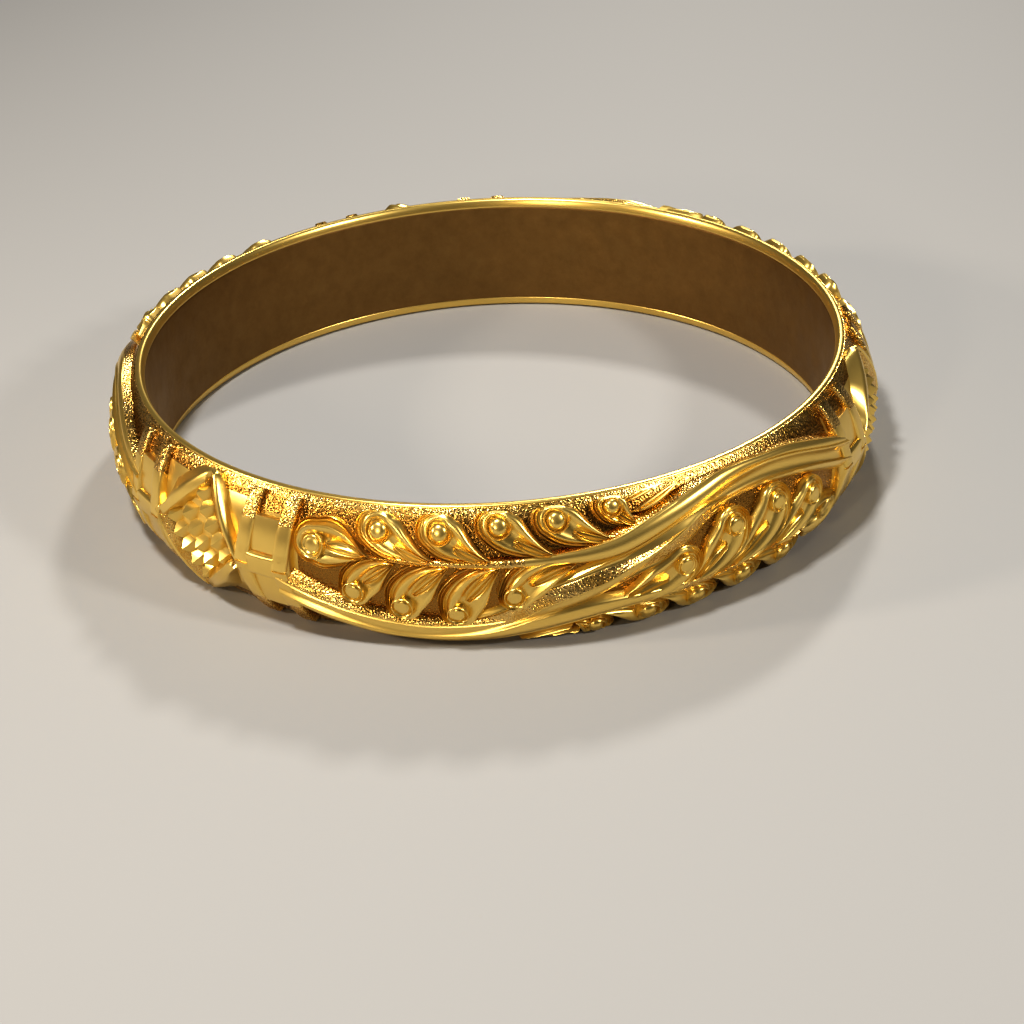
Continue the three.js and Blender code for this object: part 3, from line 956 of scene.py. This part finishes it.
def hammered_ridge_end(along, up):
    return np.abs(up) > COLLAR["hammered_from"]


def build_collars(context):
    """A belly, and above and below it two ridges with a smooth facet and a hammered patch between them."""
    forms = [collar_belly()]
    set_finishes(forms[0], context, False)
    for end in (1, -1):
        for turn in COLLAR["ridges"]:
            ridge = collar_ridge(turn, end)
            paint_faces(ridge, context, hammered_ridge_end)
            forms.append(ridge)
        for name, hammered in (("facet", False), ("patch", True)):
            facet = collar_facet(name, end)
            set_finishes(facet, context, hammered)
            forms.append(facet)
    copies = []
    for form in forms:
        copies += lay_round(form, "collar", UPRIGHT + TURNED)
    remove(*forms)
    finish_piece(joined(copies, "collars"), context, "polished_gold", crease=35)


def collar_ridge(turn, end):
    """A ridge from the belly to a rim, narrowing as it goes. An end of 1 is the upper rim."""
    def shape(s, q):
        across = spread([row["share"] for row in RIDGE_SECTION], q)
        half_width, height, up = (
            RIDGE_FOOT[key] + (RIDGE_TOP[key] - RIDGE_FOOT[key]) * s for key in ("half_width", "height", "up")
        )
        slope = np.clip((RIDGE_END["up"] - up) / (RIDGE_END["up"] - RIDGE_FOOT["up"]), 0, 1)
        height = height + RIDGE_END["rise"] * slope
        lift = height * read_table(RIDGE_SECTION, "lift", "share", across)
        lift = np.where(s < TINY, SUNK_EDGE, lift)
        along = turn + COLLAR["lean"] * up
        return np.stack([along * MM_PER_DEGREE + end * half_width * across, end * up, lift], 1)

    across = RIDGE_CELLS["between_rows"] * (len(RIDGE_SECTION) - 1)
    return close_below(add_sheet("ridge", RIDGE_CELLS["along"], across, shape))


def collar_belly():
    """The smooth pillow at mid-width under the ridges."""
    middle = (BELLY["from"] + BELLY["to"]) / 2
    half = (BELLY["to"] - BELLY["from"]) / 2

    def shape(s, q):
        x, y = np.sin((s - 0.5) * math.pi), np.sin((q - 0.5) * math.pi)
        edge = np.maximum(np.abs(x) ** BELLY["end_power"], np.abs(y) ** BELLY["side_power"])
        lift = BELLY["lift"] * np.sqrt(np.clip(1 - edge, 0, 1))
        lift = np.where(edge > 1 - TINY, SUNK_EDGE, lift)
        waist = 1 - BELLY["waist"] * (1 - x ** 2)
        return np.stack([(middle + half * x) * MM_PER_DEGREE, BELLY["up"] * y * waist, lift], 1)

    return close_below(add_sheet("belly", BELLY_CELLS["along"], BELLY_CELLS["up"], shape))


def collar_facet(name, end):
    """A flat facet between two ridges, which faces its rim."""
    facet = COLLAR[name]

    def shape(s, q):
        up = facet["foot"] + (facet["top"] - facet["foot"]) * q
        along = facet["low"] + (facet["high"] - facet["low"]) * s + COLLAR["lean"] * up
        lift = facet["foot_lift"] + (facet["top_lift"] - facet["foot_lift"]) * q
        lift = np.where((q > 1 - TINY) | (q < TINY), SUNK_EDGE, lift)
        return np.stack([along * MM_PER_DEGREE, end * up, lift], 1)

    return close_below(add_sheet(name, FACET_CELLS["along"], FACET_CELLS["up"], shape))


# The lozenges.

def in_lozenge(a, b):
    """A point of a lozenge: a and b run from -1 to 1 between opposite sides."""
    along, up = (
        (a * (LOZENGE_TOP[key] + LOZENGE_RIGHT[key]) + b * (LOZENGE_TOP[key] - LOZENGE_RIGHT[key])) / 2
        for key in ("along", "up")
    )
    return along * MM_PER_DEGREE, up


def lozenge_shares(along, up):
    """The a and b of a point given in degrees along and millimetres up."""
    sides = np.array([
        [LOZENGE_TOP[key] + LOZENGE_RIGHT[key], LOZENGE_TOP[key] - LOZENGE_RIGHT[key]]
        for key in ("along", "up")
    ]) / 2
    return np.linalg.solve(sides, np.stack([along, up]))


# The frame's sides: a broad hammered slope on two, and a bar with a plane outside it on the other two.
SLOPE_SECTION = table(
    "reach lift",
    (0.0, 0.02),
    (0.74, 0.02),
    (1.04, 0.84),
    (1.07, 0.95),
    (1.12, 0.95),
    (1.15, 0.82),
    (1.2, SUNK_EDGE),
)
PLANE_SECTION = table(
    "reach lift",
    (0.0, 0.02),
    (0.76, 0.02),
    (0.8, 0.6),
    (0.83, 0.82),
    (0.86, 0.86),
    (1.0, 0.95),
    (1.03, 0.88),
    (1.2, SUNK_EDGE),
)

# The lines of the frame's grid, from the lozenge's middle to the frame's outer edge, in half lozenges.
FRAME_REACHES = [
    0.0, 0.3, 0.6, 0.74, 0.77, 0.8, 0.83, 0.86, 0.9, 0.95, 1.0,
    1.02, 1.04, 1.055, 1.07, 1.09, 1.12, 1.135, 1.15, 1.18, 1.2,
]

# How far out the plane goes: it is wide from so far along its side, after a short step, and narrow before it.
PLANE = {"wide": 1.42, "narrow": 1.1, "from": -0.5, "step": 0.08}


def hammered_frame(along, up):
    """The broad slopes of a lozenge's frame."""
    a, b = np.abs(lozenge_shares(along, up))
    foot, top = SLOPE_SECTION[1]["reach"], SLOPE_SECTION[2]["reach"]
    return (a >= b) & (a > foot) & (a < top)


def build_lozenge_frames(context):
    lines = [-reach for reach in reversed(FRAME_REACHES)] + FRAME_REACHES[1:]
    outer = FRAME_REACHES[-1]

    def shape(s, q):
        a, b = spread(lines, s), spread(lines, q)
        reach = np.maximum(np.abs(a), np.abs(b))
        slope, plane = (
            np.interp(reach, [row["reach"] for row in section], [row["lift"] for row in section])
            for section in (SLOPE_SECTION, PLANE_SECTION)
        )
        lift = np.where(np.abs(a) >= np.abs(b), slope, plane)
        wide = smooth_step(np.clip((a * np.sign(b) - PLANE["from"]) / PLANE["step"], 0, 1))
        edge = PLANE["narrow"] + (PLANE["wide"] - PLANE["narrow"]) * wide
        beyond = np.clip(np.abs(b) - 1, 0, 1) / (outer - 1)
        b = np.sign(b) * np.where(beyond > 0, 1 + beyond * (edge - 1), np.abs(b))
        along, up = in_lozenge(a, b)
        return np.stack([along, up, lift], 1)

    border = close_below(add_sheet("border", len(lines) - 1, len(lines) - 1, shape))
    paint_faces(border, context, hammered_frame)
    frames = joined(lay_round(border, "border", LOZENGES), "lozenge_frames")
    remove(border)
    finish_piece(frames, context, "polished_gold", crease=40)


def build_studs(context):
    """Four-sided pyramids in rows, whose edges run on from one to the next along a row."""
    deselect()
    bpy.ops.mesh.primitive_cone_add(vertices=4, radius1=1, radius2=STUD_POINT, depth=1, location=(0, 0, 0.5))
    stud = bpy.context.object
    bpy.ops.object.transform_apply(location=True, rotation=True, scale=True)
    bpy.ops.object.mode_set(mode="EDIT")
    bpy.ops.mesh.select_all(action="SELECT")
    bpy.ops.mesh.subdivide(number_cuts=STUD_CUTS)
    bpy.ops.object.mode_set(mode="OBJECT")
    x, y, z = corners_of(stud).T
    height = context.scene.bangle_finish.stud_height / MM
    lift = np.where(z < TINY, SUNK_EDGE, height * z)
    copies = []
    for row in STUD_ROWS:
        for middle in row["middles"]:
            along, up = in_lozenge(row["a"] + STUD_REACH * x, middle + STUD_REACH * y)
            copies += lay_round(stud, "stud", LOZENGES, np.stack([along, up, lift], 1))
    remove(stud)
    finish_piece(joined(copies, "lozenge_studs"), context, "polished_gold", crease=20)


# The finishes.

def add_node(tree, kind, inputs=None, **settings):
    """A node with its settings, and its inputs as values or as sockets to link."""
    node = tree.nodes.new(kind)
    for name, value in settings.items():
        setattr(node, name, value)
    for name, value in (inputs or {}).items():
        if isinstance(value, bpy.types.NodeSocket):
            tree.links.new(value, node.inputs[name])
        else:
            node.inputs[name].default_value = value
    return node


def gold_finish(context, name):
    """A gold by its name, made when it is first asked for."""
    if name not in bpy.data.materials:
        material = bpy.data.materials.new(name)
        material.use_nodes = True
        tree = material.node_tree
        shader = tree.nodes["Principled BSDF"]
        shader.inputs["Metallic"].default_value = 1
        place = add_node(tree, "ShaderNodeTexCoord").outputs["Object"]
        sockets = GOLDS[name](context.scene.bangle_finish, tree, place)
        for socket, value in zip(("Base Color", "Roughness", "Normal"), sockets):
            tree.links.new(value, shader.inputs[socket])
    return bpy.data.materials[name]


def calculate(tree, operation, *values):
    """The result of a sum on sockets and numbers."""
    return add_node(tree, "ShaderNodeMath", dict(enumerate(values)), operation=operation).outputs[0]


def noise(tree, place, size, detail=2.0, roughness=0.5):
    """Noise whose grain is a size in millimetres."""
    return add_node(tree, "ShaderNodeTexNoise", {
        "Vector": place, "Scale": 1 / (size * MM), "Detail": detail, "Roughness": roughness,
    }).outputs["Fac"]


def map_range(tree, value, low, high, to_low, to_high):
    return add_node(tree, "ShaderNodeMapRange", {
        "Value": value, "From Min": low, "From Max": high, "To Min": to_low, "To Max": to_high,
    }).outputs["Result"]


def blend(tree, share, color, other):
    """A mix of two colours, whose sockets go by number, as a mix node has others of the same names."""
    mix = add_node(tree, "ShaderNodeMix", data_type="RGBA")
    tree.links.new(share, mix.inputs["Factor"])
    for socket, value in zip((mix.inputs[6], mix.inputs[7]), (color, other)):
        if isinstance(value, bpy.types.NodeSocket):
            tree.links.new(value, socket)
        else:
            socket.default_value = (*value, 1)
    return mix.outputs[2]


def bump(tree, height, depth, strength, under=None):
    """A bump whose depth is in millimetres, over another bump where one is given."""
    inputs = {"Height": height, "Distance": depth * MM, "Strength": strength}
    if under:
        inputs["Normal"] = under
    return add_node(tree, "ShaderNodeBump", inputs).outputs["Normal"]


def relief_height(tree, place):
    """How many millimetres a point stands above the dome."""
    apart = add_node(tree, "ShaderNodeSeparateXYZ", {"Vector": place})
    flat = add_node(tree, "ShaderNodeCombineXYZ", {"X": apart.outputs["X"], "Y": apart.outputs["Y"]})
    radius = add_node(tree, "ShaderNodeVectorMath", {0: flat.outputs[0]}, operation="LENGTH").outputs["Value"]
    out = calculate(tree, "SUBTRACT", radius, (CREST_RADIUS - DOME_RADIUS) * MM)
    up = calculate(tree, "SUBTRACT", apart.outputs["Z"], HALF_WIDTH * MM)
    from_middle = add_node(tree, "ShaderNodeCombineXYZ", {"X": out, "Y": up})
    reach = add_node(tree, "ShaderNodeVectorMath", {0: from_middle.outputs[0]}, operation="LENGTH")
    return map_range(tree, reach.outputs["Value"], DOME_RADIUS * MM, (DOME_RADIUS + 1) * MM, 0, 1)


def polished_gold(finish, tree, place):
    """Bright gold with a faint hammered surface, duller low down, and with painted shade: a deeper, darker
    colour low down.
    """
    height = relief_height(tree, place)
    raised = map_range(tree, height, 0.1, 0.68, 0, 1)
    patches = map_range(tree, noise(tree, place, 3.0), 0.35, 0.65, 0, 1)
    crest = blend(tree, patches, finish.polished, finish.polished_warm)
    # Painted shade: where the relief is low, the colour goes over to the darker colour for low places.
    color = blend(tree, raised, finish.recess_shade, crest)
    wear = map_range(tree, noise(tree, place, 1.2), 0.3, 0.7, 0.06, 0.13)
    dull = map_range(tree, height, 0.0, 0.5, 0.14, 0.0)
    waves = bump(tree, noise(tree, place, 1.6), 0.05, 0.5)
    grain = bump(tree, noise(tree, place, 0.3, 3.0, 0.6), 0.012, 0.6, waves)
    return color, calculate(tree, "ADD", wear, dull), grain


# The painted shade on the low hammered ground gives way to the brighter colour between these distances from
# mid-width, in millimetres.
BRIGHT_RIM = (5.0, 5.7)


def stippled_gold(finish, tree, place):
    """Hammered gold: close round grains, with painted shade that makes it darker down on the ground than on
    raised parts and at the rims.
    """
    grains = add_node(tree, "ShaderNodeTexVoronoi", {"Vector": place, "Scale": 1 / finish.grain},
                      feature="SMOOTH_F1").outputs["Distance"]
    patches = map_range(tree, noise(tree, place, 2.0), 0.35, 0.65, 0, 1)
    bright = blend(tree, patches, finish.stippled, finish.stippled_warm)
    raised = map_range(tree, relief_height(tree, place), 0.08, 0.45, 0, 1)
    across = add_node(tree, "ShaderNodeSeparateXYZ", {"Vector": place}).outputs["Z"]
    from_middle = calculate(tree, "ABSOLUTE", calculate(tree, "SUBTRACT", across, HALF_WIDTH * MM))
    rim = map_range(tree, from_middle, BRIGHT_RIM[0] * MM, BRIGHT_RIM[1] * MM, 0, 1)
    # Painted shade: the low ground away from the rims takes the dark ground colour.
    ground = blend(tree, calculate(tree, "MAXIMUM", raised, rim), finish.ground, bright)
    # Painted shade: away from each grain's middle, where the bump is low, the colour darkens towards the
    # darker colour for low places.
    pit_shade = map_range(tree, grains, 0.15, 0.6, 0, 0.5)
    color = blend(tree, pit_shade, ground, finish.recess_shade)
    roughness = map_range(tree, grains, 0.1, 0.8, 0.16, 0.42)
    dents = bump(tree, map_range(tree, grains, 0.0, 1.0, 1.0, 0.0), finish.grain_depth / MM, 0.9)
    rough = bump(tree, noise(tree, place, 0.4, 3.0, 0.6), 0.045, 0.6, dents)
    return color, roughness, rough


def satin_gold(finish, tree, place):
    """The brushed wrist side, its colour darkened all over as painted shade."""
    patches = map_range(tree, noise(tree, place, 1.6, 5.0, 0.7), 0.3, 0.7, 0, 1)
    color = blend(tree, patches, finish.satin, finish.satin_dark)
    roughness = map_range(tree, noise(tree, place, 2.5, 3.0), 0.3, 0.7, 0.42, 0.56)
    return color, roughness, bump(tree, noise(tree, place, 0.35, 3.0, 0.7), 0.03, 0.6)


GOLDS = {"polished_gold": polished_gold, "stippled_gold": stippled_gold, "satin_gold": satin_gold}


def pale_floor(context):
    material = bpy.data.materials.new("pale_floor")
    material.use_nodes = True
    shader = material.node_tree.nodes["Principled BSDF"]
    shader.inputs["Base Color"].default_value = (*context.scene.bangle_finish.floor, 1)
    shader.inputs["Roughness"].default_value = 0.75
    return material


# The stage.

# Soft lights: place in metres, size of the square in metres, watts and colour.
LIGHTS = {
    "key": dict(place=(-0.06, -0.08, 0.26), size=0.03, power=0.46, color=(1.0, 0.98, 0.95)),
    "back": dict(place=(0.06, 0.24, 0.22), size=0.033, power=0.4, color=(1.0, 0.96, 0.9)),
    "side": dict(place=(-0.26, -0.06, 0.12), size=0.03, power=0.27, color=(1.0, 0.86, 0.7)),
    "fill": dict(place=(0.22, -0.14, 0.18), size=0.036, power=0.3, color=(1.0, 0.95, 0.88)),
    "front": dict(place=(-0.14, -0.3, 0.13), size=0.036, power=0.18, color=(1.0, 0.86, 0.66)),
}
WORLD = {"color": (0.85, 0.9, 1.0), "strength": 0.035}

# The floor lies so many millimetres under the bangle, so that no two faces share a place.
FLOOR_BELOW = 0.1


def build_stage(context):
    deselect()
    size = context.scene.bangle_finish.floor_size
    bpy.ops.mesh.primitive_plane_add(size=size, location=(0, 0, -FLOOR_BELOW * MM))
    floor = bpy.context.object
    floor.name = "floor"
    bpy.ops.object.transform_apply(location=True, rotation=True, scale=True)
    floor.data.materials.append(pale_floor(context))

    world = bpy.data.worlds.new("studio")
    world.use_nodes = True
    background = world.node_tree.nodes["Background"]
    background.inputs["Color"].default_value = (*WORLD["color"], 1)
    background.inputs["Strength"].default_value = WORLD["strength"]
    context.scene.world = world
    context.scene.view_settings.view_transform = "Standard"
    context.scene.view_settings.look = "High Contrast"
    for name, light in LIGHTS.items():
        soft_light(context, name, **light)
    photo_camera(context)


def soft_light(context, name, place, size, power, color):
    light = bpy.data.lights.new(name, "AREA")
    light.size = size
    light.energy = power
    light.color = color
    lamp = bpy.data.objects.new(name, light)
    context.scene.collection.objects.link(lamp)
    lamp.location = place
    aim = Vector((0, 0, HALF_WIDTH * MM)) - lamp.location
    lamp.rotation_mode = "QUATERNION"
    lamp.rotation_quaternion = aim.to_track_quat("-Z", "Y")


# The photo's view: angles in degrees, the lens's place from the middle of the opening in opening radii, and
# the focal length and the frame in pixels.
VIEW = {
    "elevation": 30.39,
    "roll": 3.22,
    "distance": 6.1434,
    "right": 0.0380,
    "up": -0.2066,
    "focal_pixels": 2040.0,
    "frame_pixels": 1024.0,
}


def photo_camera(context):
    """The lens looks along +Y and down on the bangle, and is rolled a little."""
    tilt, roll = math.radians(VIEW["elevation"]), math.radians(VIEW["roll"])
    back = Vector((0, -math.cos(tilt), math.sin(tilt)))
    right = Vector((1, 0, 0))
    up = Vector((0, math.sin(tilt), math.cos(tilt)))
    lens = bpy.data.cameras.new("photo_view")
    lens.sensor_width = 36
    lens.lens = lens.sensor_width * VIEW["focal_pixels"] / VIEW["frame_pixels"]
    lens.clip_start, lens.clip_end = 0.01, 10
    camera = bpy.data.objects.new("photo_view", lens)
    context.scene.collection.objects.link(camera)
    place = back * VIEW["distance"] + right * VIEW["right"] + up * VIEW["up"]
    across = right * math.cos(roll) - up * math.sin(roll)
    upward = right * math.sin(roll) + up * math.cos(roll)
    turn = Matrix((across, upward, back)).transposed().to_4x4()
    camera.matrix_world = Matrix.Translation(place * OPENING_RADIUS * MM) @ turn
    context.scene.camera = camera


# The add-on: colours, an operator for each group of pieces, and the panel.

def color_of(name, description, default):
    return bpy.props.FloatVectorProperty(
        name=name, description=description, default=default, subtype="COLOR", size=3, min=0, max=1)


def size_of(name, description, default):
    return bpy.props.FloatProperty(
        name=name, description=description, default=default, min=0, precision=5,
        subtype="DISTANCE", unit="LENGTH")


class BangleFinish(bpy.types.PropertyGroup):
    """Colours of the finishes and of the floor, and sizes in metres."""

    polished: color_of("Polished gold", "Colour of the raised ornament", (0.95, 0.73, 0.35))
    polished_warm: color_of("Polished gold, warm", "Second colour of the raised ornament", (0.93, 0.66, 0.26))
    # Painted shade: this darker colour is blended in low down in the recesses and between the hammered
    # grains.
    recess_shade: color_of("Recesses", "Colour low down between the ornaments", (0.44, 0.22, 0.05))
    stippled: color_of("Stippled gold", "Colour of the sunk ground", (0.93, 0.69, 0.28))
    stippled_warm: color_of("Stippled gold, warm", "Second colour of the sunk ground", (0.84, 0.54, 0.14))
    # Painted shade: the hammered ground low down between the ornaments is given this darker colour.
    ground: color_of("Ground", "Colour of the hammered ground low down", (0.36, 0.2, 0.05))
    # Painted shade: the wrist side inside the ring is given these dark colours, which vary at random between
    # the two.
    satin: color_of("Satin gold", "Colour of the wrist side", (0.3, 0.185, 0.07))
    satin_dark: color_of("Satin gold, dark", "Second colour of the wrist side", (0.25, 0.15, 0.055))
    floor: color_of("Floor", "Colour of the floor", (0.38, 0.376, 0.368))
    grain: size_of("Grain", "Size of a grain of the hammered finish", 0.00016)
    grain_depth: size_of("Grain depth", "Depth of the hammered finish", 0.00006)
    stud_height: size_of("Stud height", "Height of the studs of a lozenge above the dome", 0.001)
    floor_size: size_of("Floor size", "Length of a side of the floor", 3.0)


class BANGLE_OT_wrist_wall(bpy.types.Operator):
    """Adds the satin wrist side"""

    bl_idname = "bangle.wrist_wall"
    bl_label = "Wrist Side"

    def execute(self, context):
        build_wrist_wall(context)
        return {"FINISHED"}


class BANGLE_OT_lips(bpy.types.Operator):
    """Adds the polished lips of both edges"""

    bl_idname = "bangle.lips"
    bl_label = "Rim Lips"

    def execute(self, context):
        build_lips(context)
        return {"FINISHED"}


class BANGLE_OT_ground(bpy.types.Operator):
    """Adds the stippled ground"""

    bl_idname = "bangle.ground"
    bl_label = "Ground"

    def execute(self, context):
        build_ground(context)
        return {"FINISHED"}


class BANGLE_OT_ribbons(bpy.types.Operator):
    """Adds the three winding ribbons"""

    bl_idname = "bangle.ribbons"
    bl_label = "Ribbons"

    def execute(self, context):
        build_ribbons(context)
        return {"FINISHED"}


class BANGLE_OT_stems(bpy.types.Operator):
    """Adds the stems of the plumes"""

    bl_idname = "bangle.stems"
    bl_label = "Plume Stems"

    def execute(self, context):
        build_stems(context)
        return {"FINISHED"}


class BANGLE_OT_feathers(bpy.types.Operator):
    """Adds the rim, inner and end feathers"""

    bl_idname = "bangle.feathers"
    bl_label = "Feathers"

    def execute(self, context):
        build_rim_feathers(context)
        build_inner_feathers(context)
        build_end_feathers(context)
        return {"FINISHED"}


class BANGLE_OT_eyes(bpy.types.Operator):
    """Adds the eyes of the feathers"""

    bl_idname = "bangle.eyes"
    bl_label = "Eyes"

    def execute(self, context):
        build_eyes(context)
        return {"FINISHED"}


class BANGLE_OT_collars(bpy.types.Operator):
    """Adds the ridged collars at the ends of the ribbons"""

    bl_idname = "bangle.collars"
    bl_label = "Collars"

    def execute(self, context):
        build_collars(context)
        return {"FINISHED"}


class BANGLE_OT_lozenges(bpy.types.Operator):
    """Adds the lozenge frames and their studs"""

    bl_idname = "bangle.lozenges"
    bl_label = "Lozenges"

    def execute(self, context):
        build_lozenge_frames(context)
        build_studs(context)
        return {"FINISHED"}


class BANGLE_OT_stage(bpy.types.Operator):
    """Adds the floor, the lights and the camera"""

    bl_idname = "bangle.stage"
    bl_label = "Stage"

    def execute(self, context):
        build_stage(context)
        return {"FINISHED"}


OPERATORS = [
    BANGLE_OT_wrist_wall,
    BANGLE_OT_lips,
    BANGLE_OT_ground,
    BANGLE_OT_ribbons,
    BANGLE_OT_stems,
    BANGLE_OT_feathers,
    BANGLE_OT_eyes,
    BANGLE_OT_collars,
    BANGLE_OT_lozenges,
    BANGLE_OT_stage,
]


class BANGLE_PT_panel(bpy.types.Panel):
    """The bangle's pieces and colours"""

    bl_label = "Bangle"
    bl_space_type = "VIEW_3D"
    bl_region_type = "UI"
    bl_category = "Bangle"

    def draw(self, context):
        for name in BangleFinish.__annotations__:
            self.layout.prop(context.scene.bangle_finish, name)
        for operator in OPERATORS:
            self.layout.operator(operator.bl_idname)


CLASSES = [BangleFinish, *OPERATORS, BANGLE_PT_panel]


def register():
    for item in CLASSES:
        bpy.utils.register_class(item)
    bpy.types.Scene.bangle_finish = bpy.props.PointerProperty(type=BangleFinish)


def unregister():
    del bpy.types.Scene.bangle_finish
    for item in reversed(CLASSES):
        bpy.utils.unregister_class(item)


def main():
    register()
    bpy.ops.bangle.wrist_wall()
    bpy.ops.bangle.lips()
    bpy.ops.bangle.ground()
    bpy.ops.bangle.ribbons()
    bpy.ops.bangle.stems()
    bpy.ops.bangle.feathers()
    bpy.ops.bangle.eyes()
    bpy.ops.bangle.collars()
    bpy.ops.bangle.lozenges()
    bpy.ops.bangle.stage()


if __name__ == "__main__":
    main()
